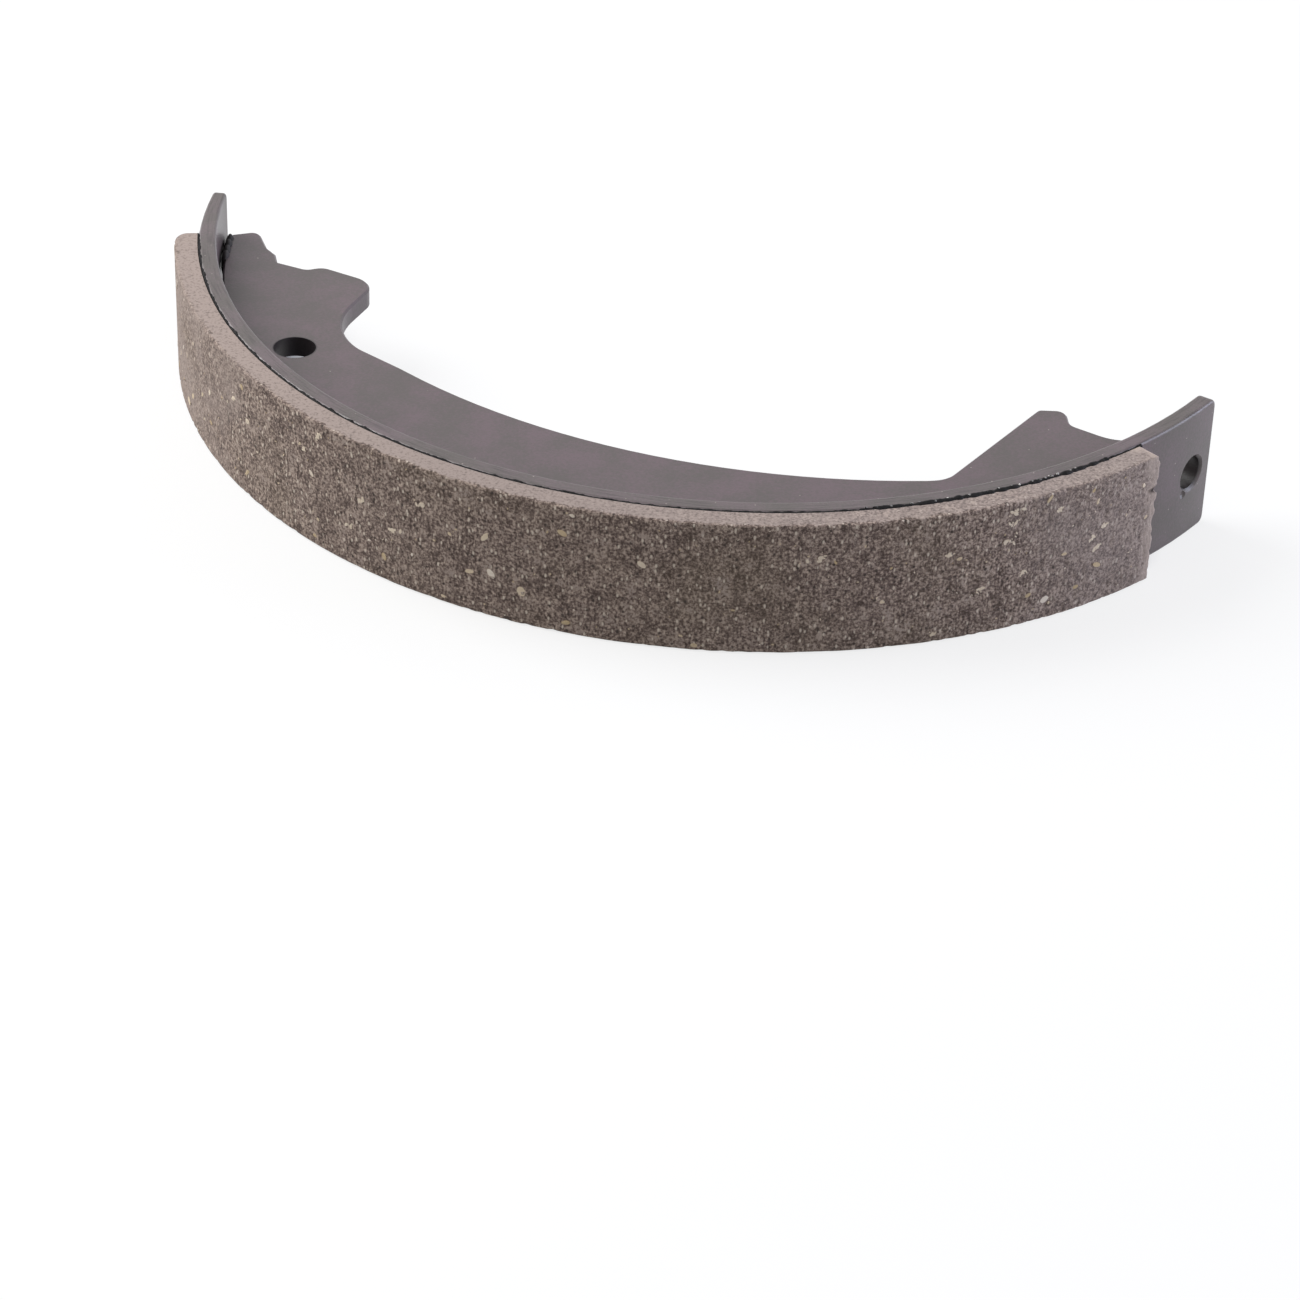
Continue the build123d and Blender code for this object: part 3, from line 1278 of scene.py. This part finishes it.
@dataclass
class LiningChips(GrownPiece):
    """Fibre and metal chips that show in the lining's ground face."""

    name = "lining_chips"
    slot = Slot.FRICTION
    soft = False
    per_square_cm: float = 7.0
    smallest: float = 0.25
    largest: float = 1.8
    rarity: float = 6.0  # power that makes long chips rare
    slimness: float = 0.6
    slimness_spread: Pair = (0.6, 1.3)
    corners: int = 9
    wobble: float = 0.2
    wobble_mm: float = 0.4  # size of the lumps that make a chip ragged
    thickness: float = 0.08
    proud: float = 0.015
    margin: float = 1.2  # kept free at the face's edges
    guide_steps: int = 180
    grains: int = 11  # small grains in each crumbled chip
    grain_spread: Pair = (0.75, 0.32)  # along and across, of its half-length
    grain_slant: float = 25.0
    grain_longest: float = 0.35  # share of the way from the smallest to the largest
    crumbled: tuple[Triple, ...] = (  # angle, Z and half-length
        *((205.8, 10.3, 0.35), (211.9, 13.8, 0.4), (214.5, 12.0, 0.3), (224.1, 14.2, 0.4)),
        *((226.3, 17.5, 0.5), (230.4, 6.2, 0.5), (231.7, 10.9, 0.6), (236.0, 8.6, 0.7)),
        *((238.8, 13.9, 0.5), (277.2, 14.6, 0.4), (289.3, 13.4, 0.3), (292.6, 7.1, 0.5)),
        *((295.4, 13.9, 0.9), (295.6, 16.2, 0.8), (295.8, 18.2, 1.0), (297.0, 8.2, 0.35)),
        *((300.6, 16.8, 0.3), (304.6, 10.6, 0.4), (305.3, 8.9, 0.4), (306.0, 12.0, 0.4)),
    )
    seed: int = 7
    tone_seed: int = 13
    slim_seed: int = 21
    turn_seed: int = 5

    def values(self) -> Values:
        """Sizes, odds and finish of the chips.

        Returns:
            Each input's value by its name.
        """
        return {
            "Axis": self.layout.on_axis(),
            "Density": self.per_square_cm / SQUARE_CM,
            "Smallest": self.smallest * MM / 2,
            "Largest": self.largest * MM / 2,
            "Slimness": self.slimness,
            "Thickness": self.thickness * MM,
            "Rarity": self.rarity,
            "Wobble": self.wobble * MM,
            "Seed": self.seed,
            "Material": FibreChips().build(),
        }

    def seed_mesh(self) -> bpy.types.Mesh:
        """Mesh of the smooth ground face, with a loose point for each crumbled chip's grain.

        Returns:
            The mesh.
        """
        layout = self.layout
        low, high = layout.heights("brake_lining")
        horn, tab = layout.lining_angles
        inset = self.margin / layout.drum_radius
        angles = np.linspace(horn + inset, tab - inset, self.guide_steps + 1)
        heights = np.array([low + self.margin / 2, high - self.margin / 2])
        grid_angle, grid_height = np.meshgrid(angles, heights, indexing="ij")
        radius = layout.drum_radius - self.thickness / 2 + self.proud
        points = layout.points(np.full(grid_angle.shape, radius), grid_angle, grid_height)
        faces = [(2 * i, 2 * i + 2, 2 * i + 3, 2 * i + 1) for i in range(self.guide_steps)]
        luck = np.random.default_rng(self.seed)
        places = np.repeat(np.array(self.crumbled), self.grains, axis=0)
        count = len(places)
        spread = luck.normal(size=(count, 2)) * places[:, 2:] * self.grain_spread
        slant = math.radians(self.grain_slant)
        aside = spread[:, 0] * math.cos(slant) - spread[:, 1] * math.sin(slant)
        rise = spread[:, 0] * math.sin(slant) + spread[:, 1] * math.cos(slant)
        spots = layout.points(
            np.full(count, radius),
            np.radians(places[:, 0]) + aside / layout.drum_radius,
            np.clip(places[:, 1] + rise, low + self.margin, high - self.margin),
        )
        mesh = bpy.data.meshes.new("chip_guide")
        mesh.from_pydata(points.tolist() + spots.tolist(), [], faces)
        return mesh

    def wire(self, tree: Tree, given: dict[str, Socket]) -> Feed:
        """Scatter irregular flat chips over the guide, and set the small ones on its points.

        Args:
            tree: Geometry node tree.
            given: Its inputs by name.

        Returns:
            The chips.
        """
        face = {"Mesh": given["Geometry"], "Density": given["Density"], "Seed": given["Seed"]}
        scatter = add_node(tree, "GeometryNodeDistributePointsOnFaces", face)
        around = add_node(tree, "GeometryNodeInputMeshVertexNeighbors").outputs["Face Count"]
        loose = add_node(tree, "ShaderNodeMath", [around, 1.0], operation="LESS_THAN")
        guide = {"Mesh": given["Geometry"], "Selection": loose}
        spots = add_node(tree, "GeometryNodeMeshToPoints", guide)
        chance = {2: 0.0, 3: 1.0, "Seed": given["Seed"]}
        luck = add_node(tree, "FunctionNodeRandomValue", chance)
        rare = add_node(tree, "ShaderNodeMath", [luck, given["Rarity"]], operation="POWER")
        common = add_node(tree, "ShaderNodeMapRange", [luck, 0.0, 1.0, 0.0, self.grain_longest])
        joined = add_node(tree, "GeometryNodeJoinGeometry")
        for points, share in ((scatter, rare), (spots, common)):
            chips = self.lay_chips(tree, given, points, share)
            tree.links.new(chips.outputs[0], joined.inputs[0])
        chance = {2: 0.0, 3: 1.0, "Seed": self.tone_seed}
        tone = add_node(tree, "FunctionNodeRandomValue", chance)
        toned = add_node(
            tree,
            "GeometryNodeStoreNamedAttribute",
            {"Geometry": joined, "Name": "tone", "Value": tone},
            data_type="FLOAT",
            domain="INSTANCE",
        )
        real = add_node(tree, "GeometryNodeRealizeInstances", [toned])
        return unsettle(tree, real, self.wobble_mm, 2.0, given["Wobble"])

    def lay_chips(self, tree: Tree, given: dict[str, Socket], points: Node, share: Node) -> Node:
        """Lay a chip flat on the face at each point, turned at random.

        Args:
            tree: Geometry node tree.
            given: The tree's inputs.
            points: Points on the face.
            share: Length of each chip, from 0 for the smallest to 1 for the largest.

        Returns:
            Node of the chips' instances.
        """
        limits = [share, 0.0, 1.0, given["Smallest"], given["Largest"]]
        half_length = add_node(tree, "ShaderNodeMapRange", limits)
        least, most = self.slimness_spread
        chance = {2: least, 3: most, "Seed": self.slim_seed}
        slim = add_node(tree, "FunctionNodeRandomValue", chance)
        half_width = overlap(tree, half_length, overlap(tree, given["Slimness"], slim))
        size = [half_length, half_width, given["Thickness"]]
        disc = {"Vertices": self.corners, "Radius": 1.0, "Depth": 1.0}
        chip = {
            "Points": points,
            "Instance": add_node(tree, "GeometryNodeMeshCylinder", disc),
            "Rotation": turn_outward(tree, given["Axis"], "Z"),
            "Scale": add_node(tree, "ShaderNodeCombineXYZ", size),
        }
        spread = add_node(tree, "GeometryNodeInstanceOnPoints", chip)
        chance = {2: 0.0, 3: 2 * math.pi, "Seed": self.turn_seed}
        turn = add_node(tree, "FunctionNodeRandomValue", chance)
        spin = add_node(tree, "ShaderNodeCombineXYZ", {"Z": turn})
        turned = {"Instances": spread, "Rotation": spin}
        return add_node(tree, "GeometryNodeRotateInstances", turned)


@dataclass
class AdhesiveBead(GrownPiece):
    """Adhesive squeezed out of the joint along both sides of the lining."""

    name = "adhesive_bead"
    slot = Slot.ADHESIVE
    radius: float = 0.33
    wander: float = 0.24
    wander_mm: float = 1.1  # size of the noise's lumps
    girth_stops: Pair = (0.35, 0.65)
    girths: Pair = (0.7, 1.2)
    inset: float = 0.18  # path inside the joint's radius, in the table's rounded edge
    sink_upper: float = 0.27
    sink_lower: float = 0.5  # the shoe stands on this side, so the bead stays clear of it
    heavy_from: float = 281.0  # angles between which more adhesive came out
    heavy_to: float = 308.0
    heavy_swell: float = 0.5
    steps_along: int = 900
    steps_round: int = 8

    def values(self) -> Values:
        """Path, girth and finish of the bead.

        Returns:
            Each input's value by its name.
        """
        layout = self.layout
        horn, tab = layout.lining_angles
        low, high = layout.heights("brake_lining")
        return {
            "Centre": layout.on_axis(),
            "Lower": (low + self.sink_lower) * MM,
            "Upper": (high - self.sink_upper) * MM,
            "Middle": (low + high) / 2 * MM,
            "Path Radius": (layout.bond_middle - self.inset) * MM,
            "Start": horn,
            "Sweep": tab - horn,
            "Bead Radius": self.radius * MM,
            "Wander": self.wander * MM,
            "Heavy Start": (math.radians(self.heavy_from) - horn) / (tab - horn),
            "Heavy End": (math.radians(self.heavy_to) - horn) / (tab - horn),
            "Heavy Swell": self.heavy_swell,
            "Material": CuredAdhesive().build(),
        }

    def wire(self, tree: Tree, given: dict[str, Socket]) -> Feed:
        """Run a wandering tube along each side of the lining.

        Args:
            tree: Geometry node tree.
            given: Its inputs by name.

        Returns:
            The tubes.
        """
        path = {
            "Resolution": self.steps_along,
            "Radius": given["Path Radius"],
            "Start Angle": given["Start"],
            "Sweep Angle": given["Sweep"],
        }
        arc = add_node(tree, "GeometryNodeCurveArc", path)
        both = add_node(tree, "GeometryNodeJoinGeometry")
        for height in ("Lower", "Upper"):
            lift = add_node(tree, "ShaderNodeCombineXYZ", {"Z": given[height]})
            ends = [given["Centre"], lift]
            move = add_node(tree, "ShaderNodeVectorMath", ends, operation="ADD")
            side = {"Geometry": arc, "Translation": move}
            moved = add_node(tree, "GeometryNodeTransform", side)
            tree.links.new(moved.outputs[0], both.inputs[0])
        ring = {"Resolution": self.steps_round, "Radius": given["Bead Radius"]}
        tube = {
            "Curve": unsettle(tree, both, self.wander_mm, 3.0, given["Wander"]),
            "Profile Curve": add_node(tree, "GeometryNodeCurvePrimitiveCircle", ring),
            "Scale": self.girth(tree, given),
            "Fill Caps": True,
        }
        return add_node(tree, "GeometryNodeCurveToMesh", tube)

    def girth(self, tree: Tree, given: dict[str, Socket]) -> Feed:
        """Girth of the bead, which is uneven, and more on the upper side where it is heavy.

        Args:
            tree: Geometry node tree.
            given: The tree's inputs.

        Returns:
            Share of the plain girth.
        """
        where = add_node(tree, "GeometryNodeInputPosition")
        along = add_node(tree, "GeometryNodeSplineParameter")
        height = add_node(tree, "ShaderNodeSeparateXYZ", [where]).outputs["Z"]
        tests = (
            (along, given["Heavy Start"], "GREATER_THAN"),
            (along, given["Heavy End"], "LESS_THAN"),
            (height, given["Middle"], "GREATER_THAN"),
        )
        inside = (
            add_node(tree, "ShaderNodeMath", [value, limit], operation=test)
            for value, limit, test in tests
        )
        extra = overlap(tree, *inside, given["Heavy Swell"])
        full = add_node(tree, "ShaderNodeMath", [extra, 1.0])
        (uneven,) = add_noise(tree, where, ((self.wander_mm, 3.0, 0.5),))
        limits = [uneven, *self.girth_stops, *self.girths]
        return overlap(tree, full, add_node(tree, "ShaderNodeMapRange", limits))


@dataclass
class AdhesiveLumps(GrownPiece):
    """Lumps of adhesive on the upper side toward the tab end, with painted glints in a pale
    colour.
    """

    name = "adhesive_lumps"
    slot = Slot.ADHESIVE
    start: float = 281.0
    end: float = 305.0
    pitch: float = 1.0
    radius: float = 0.2
    inset: float = 0.25
    sink: float = -0.1  # on top of the bead
    jitter: tuple[Triple, Triple] = ((-0.9, -0.7, -0.2), (0.9, 0.9, 0.45))  # of the radius
    girths: tuple[Triple, Triple] = ((0.7, 0.5, 0.5), (2.1, 1.2, 1.0))
    kept: float = 0.7
    roundness: int = 3
    seed: int = 3
    girth_seed: int = 9

    def values(self) -> Values:
        """Path, sizes and finish of the lumps.

        Returns:
            Each input's value by its name.
        """
        layout = self.layout
        _, high = layout.heights("brake_lining")
        path_radius = layout.bond_middle - self.inset
        sweep = math.radians(self.end - self.start)
        # The pale skin colour here paints glints on the lumps.
        finish = CuredAdhesive(
            name="adhesive_painted_glints", skin="#d8d4d0", roughness=0.2, specular=0.6
        )
        return {
            "Centre": layout.on_axis(high - self.sink),
            "Path Radius": path_radius * MM,
            "Start": math.radians(self.start),
            "Sweep": sweep,
            "Radius": self.radius * MM,
            "Count": round(path_radius * sweep / self.pitch),
            "Seed": self.seed,
            "Material": finish.build(),
        }

    def wire(self, tree: Tree, given: dict[str, Socket]) -> Feed:
        """Strew flat lumps along an arc.

        Args:
            tree: Geometry node tree.
            given: Its inputs by name.

        Returns:
            The lumps.
        """
        path = {
            "Resolution": given["Count"],
            "Radius": given["Path Radius"],
            "Start Angle": given["Start"],
            "Sweep Angle": given["Sweep"],
        }
        arc = add_node(tree, "GeometryNodeCurveArc", path)
        move = {"Geometry": arc, "Translation": given["Centre"]}
        raised = add_node(tree, "GeometryNodeTransform", move)
        kind = "FunctionNodeRandomValue"
        chance = {0: self.jitter[0], 1: self.jitter[1], "Seed": given["Seed"]}
        jitter = add_node(tree, kind, chance, data_type="FLOAT_VECTOR")
        push = {0: jitter, "Scale": given["Radius"]}
        nudge = add_node(tree, "ShaderNodeVectorMath", push, operation="SCALE")
        ball = {"Radius": given["Radius"], "Subdivisions": self.roundness}
        kept = {"Probability": self.kept, "Seed": given["Seed"]}
        girth = {0: self.girths[0], 1: self.girths[1], "Seed": self.girth_seed}
        lumps = {
            "Points": add_node(
                tree, "GeometryNodeSetPosition", {"Geometry": raised, "Offset": nudge}
            ),
            "Selection": add_node(tree, kind, kept, data_type="BOOLEAN"),
            "Instance": add_node(tree, "GeometryNodeMeshIcoSphere", ball),
            "Scale": add_node(tree, kind, girth, data_type="FLOAT_VECTOR"),
        }
        return add_node(tree, "GeometryNodeInstanceOnPoints", lumps)


@dataclass
class WeldBeads(GrownPiece):
    """Beads of the resistance welds where the web meets the table."""

    name = "weld_beads"
    slot = Slot.STEEL
    count: int = 8
    radial: float = 1.5
    tangential: float = 2.6
    spread: float = 1.8  # step of the extra dark beads at the horn weld, set in the gap where there is only shade
    shade_filler_steps: tuple[int, ...] = (1, -1, -2)
    variety: tuple[Triple, Triple] = ((0.9, 0.85, 0.92), (1.1, 1.15, 1.0))
    lump_height: float = 0.3
    lump_mm: float = 1.3
    roundness: int = 4
    seed: int = 4

    def replaced(self) -> list[str]:
        """Names of the welds' solids."""
        return [f"weld_spot_{index + 1}" for index in range(self.count)]

    def seed_mesh(self) -> bpy.types.Mesh:
        """Mesh with a loose point at each weld, and a few more at the horn, whose dark beads fill
        the gap between web and table in place of its shade.

        Returns:
            The mesh.
        """
        centres = [sum(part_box(name), Vector()) / 2 for name in self.replaced()]
        outward = centres[0] - Vector(self.layout.on_axis())
        along = Vector((-outward.y, outward.x, 0.0)).normalized() * self.spread * MM
        centres += [centres[0] + along * step for step in self.shade_filler_steps]
        mesh = bpy.data.meshes.new("weld_centres")
        mesh.from_pydata([tuple(centre) for centre in centres], [], [])
        return mesh

    def values(self) -> Values:
        """Place, sizes and finish of the beads.

        Returns:
            Each input's value by its name.
        """
        # The near-black coat paints the shade of the gap onto the welds.
        finish = PrimedSteel(
            name="welds_painted_shade",
            coat="#2e292b",
            coat_green="#262424",
            roughness=0.75,
            grain_height_mm=0.05,
        )
        tall = max(high.z - low.z for low, high in map(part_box, self.replaced()))
        return {
            "Axis": self.layout.on_axis(),
            "Size": (self.radial * MM, self.tangential * MM, tall),
            "Lumps": self.lump_height * MM,
            "Seed": self.seed,
            "Material": finish.build(),
        }

    def wire(self, tree: Tree, given: dict[str, Socket]) -> Feed:
        """Set a lumpy bead on each point, turned to the axis.

        Args:
            tree: Geometry node tree.
            given: Its inputs by name.

        Returns:
            The beads.
        """
        chance = {0: self.variety[0], 1: self.variety[1], "Seed": given["Seed"]}
        vary = add_node(tree, "FunctionNodeRandomValue", chance, data_type="FLOAT_VECTOR")
        ball = {"Radius": 0.5, "Subdivisions": self.roundness}
        sizes = [given["Size"], vary]
        beads = {
            "Points": add_node(tree, "GeometryNodeMeshToPoints", {"Mesh": given["Geometry"]}),
            "Instance": add_node(tree, "GeometryNodeMeshIcoSphere", ball),
            "Rotation": turn_outward(tree, given["Axis"], "X"),
            "Scale": add_node(tree, "ShaderNodeVectorMath", sizes, operation="MULTIPLY"),
        }
        placed = add_node(tree, "GeometryNodeInstanceOnPoints", beads)
        real = add_node(tree, "GeometryNodeRealizeInstances", [placed])
        where = add_node(tree, "GeometryNodeInputPosition")
        (lump,) = add_noise(tree, where, ((self.lump_mm, 2.0, 0.5),))
        centred = add_node(tree, "ShaderNodeMath", [lump, 0.5], operation="SUBTRACT")
        normal = add_node(tree, "GeometryNodeInputNormal")
        push = {0: normal, "Scale": overlap(tree, centred, given["Lumps"])}
        offset = add_node(tree, "ShaderNodeVectorMath", push, operation="SCALE")
        return add_node(tree, "GeometryNodeSetPosition", {"Geometry": real, "Offset": offset})


# --- Studio ----------------------------------------------------------------------------------


@dataclass(frozen=True)
class Lamp:
    """A square soft lamp that faces the shoe."""

    name: str
    spot: Triple  # in metres
    power: float  # in watts
    colour: str


def plain_view(tree: Tree) -> Node:
    """Find what the camera or a reflection sees directly.

    Args:
        tree: The nodes of a material or of the world.

    Returns:
        Node of a share that is 1 there.
    """
    rays = add_node(tree, "ShaderNodeLightPath").outputs
    seen = [rays["Is Camera Ray"], rays["Is Glossy Ray"]]
    return add_node(tree, "ShaderNodeMath", seen, operation="MAXIMUM")


@dataclass
class Studio:
    """Pale floor, soft light from the left and above, and the camera."""

    layout: ShoeLayout
    floor_half: float = 1.5
    floor_colour: str = "#9a9a9a"
    white: str = "#ffffff"
    open_glow: float = 0.75  # share of plain white in the floor where nothing covers it
    shadow_ring_from: Pair = (56.0, 66.0)  # radii where the web starts to cover
    shadow_ring_to: Pair = (79.0, 80.5)  # and where the table ends it
    shadow_ring_back: Pair = (0.0, 6.0)  # behind the axis, at the horn
    shadow_ring_right: Pair = (46.0, 58.0)  # right of the axis, at the tab
    lamps: tuple[Lamp, ...] = (
        Lamp("key", (-0.56, 0.16, 0.48), 5.4, "#ffffff"),
        Lamp("fill", (0.74, 0.06, 0.16), 5.2, "#dfe6ff"),
    )
    lamp_size: float = 0.6
    ambient: float = 0.45
    camera_offset: Triple = (-12.71, -537.12, 296.30)  # from the axis
    camera_turn: Triple = (56.9236, -1.6542, 0.9296)
    lens_mm: float = 114.71
    sensor_mm: float = 36.0
    nearest: float = 0.01

    def build(self) -> None:
        """Build the floor, the light and the camera."""
        self.build_floor()
        self.build_world()
        for lamp in self.lamps:
            self.add_lamp(lamp)
        self.build_camera()

    def build_floor(self) -> None:
        """Build the floor, which shows near white and keeps the shoe's shadow."""
        half = self.floor_half
        corners = [(-half, -half, 0), (half, -half, 0), (half, half, 0), (-half, half, 0)]
        mesh = bpy.data.meshes.new("studio_floor")
        mesh.from_pydata(corners, [], [(0, 1, 2, 3)])
        material, tree, where = new_material("studio_floor")
        seen = plain_view(tree)
        tone = lay_coats(tree, self.floor_colour, ((seen, self.white),))
        share = overlap(tree, seen, self.glow_outside_shadow_ring(tree, where))
        matt = add_node(tree, "ShaderNodeBsdfDiffuse", {"Color": tone})
        glow = add_node(tree, "ShaderNodeEmission", {"Color": linear(self.white)})
        close_material(tree, add_node(tree, "ShaderNodeMixShader", [share, matt, glow]))
        mesh.materials.append(material)
        place(mesh, "studio_floor")

    def glow_outside_shadow_ring(self, tree: Tree, where: Socket) -> Node:
        """Share of white glow in the floor, withheld in a drawn ring under the web: a painted
        shadow mask, inside which real shade shows.

        Args:
            tree: The floor's nodes.
            where: Object coordinates.

        Returns:
            The share.
        """
        axis = self.layout.on_axis()
        offset = add_node(tree, "ShaderNodeVectorMath", [where, axis], operation="SUBTRACT")
        aside = add_node(tree, "ShaderNodeVectorMath", [offset], operation="LENGTH")
        x, y, _ = add_node(tree, "ShaderNodeSeparateXYZ", [offset]).outputs
        bounds = (
            (aside, self.shadow_ring_from, 0.0, 1.0),
            (aside, self.shadow_ring_to, 1.0, 0.0),
            (y, self.shadow_ring_back, 1.0, 0.0),
            (x, self.shadow_ring_right, 1.0, 0.0),
        )
        inside = (
            add_node(tree, "ShaderNodeMapRange", [value, near * MM, far * MM, low, high])
            for value, (near, far), low, high in bounds
        )
        # Painted shadow: the drawn ring under the web where the glow is withheld.
        shadow_ring = overlap(tree, *inside)
        limits = [shadow_ring, 0.0, 1.0, self.open_glow, 0.0]
        return add_node(tree, "ShaderNodeMapRange", limits)

    def build_world(self) -> None:
        """Light the scene evenly, and show white to the camera and in reflections."""
        world = bpy.data.worlds.new("studio")
        world.use_nodes = True
        tree = world.node_tree
        tree.nodes.clear()
        limits = [plain_view(tree), 0.0, 1.0, self.ambient, 1.0]
        strength = add_node(tree, "ShaderNodeMapRange", limits)
        light = {"Color": linear(self.white), "Strength": strength}
        backdrop = add_node(tree, "ShaderNodeBackground", light)
        add_node(tree, "ShaderNodeOutputWorld", {"Surface": backdrop})
        bpy.context.scene.world = world

    def add_lamp(self, lamp: Lamp) -> None:
        """Add a lamp and point it at the shoe.

        Args:
            lamp: The lamp.
        """
        data = bpy.data.lights.new(lamp.name, "AREA")
        data.energy = lamp.power
        data.size = self.lamp_size
        data.color = linear(lamp.colour)[:3]
        light = bpy.data.objects.new(lamp.name, data)
        light.location = lamp.spot
        light.rotation_euler = (-Vector(lamp.spot)).to_track_quat("-Z", "Y").to_euler()
        bpy.context.scene.collection.objects.link(light)

    def build_camera(self) -> None:
        """Set the camera at its measured place."""
        lens = bpy.data.cameras.new("camera")
        lens.lens = self.lens_mm
        lens.sensor_width = self.sensor_mm
        lens.clip_start = self.nearest
        camera = bpy.data.objects.new("camera", lens)
        camera.location = Vector(self.camera_offset) * MM + Vector(self.layout.on_axis())
        camera.rotation_euler = Euler([math.radians(a) for a in self.camera_turn])
        bpy.context.scene.collection.objects.link(camera)
        bpy.context.scene.camera = camera


def main() -> None:
    """Build every piece in order."""
    logging.basicConfig(level=logging.INFO, format="%(name)s: %(message)s")
    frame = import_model()
    layout = ShoeLayout()

    PaintedSolids(layout).dress(frame)
    for piece in (Lining, LiningChips, AdhesiveBead, AdhesiveLumps, WeldBeads):
        piece(layout).build()
    Studio(layout).build()
    bpy.context.scene.view_settings.view_transform = "Standard"


if __name__ == "__main__":
    main()
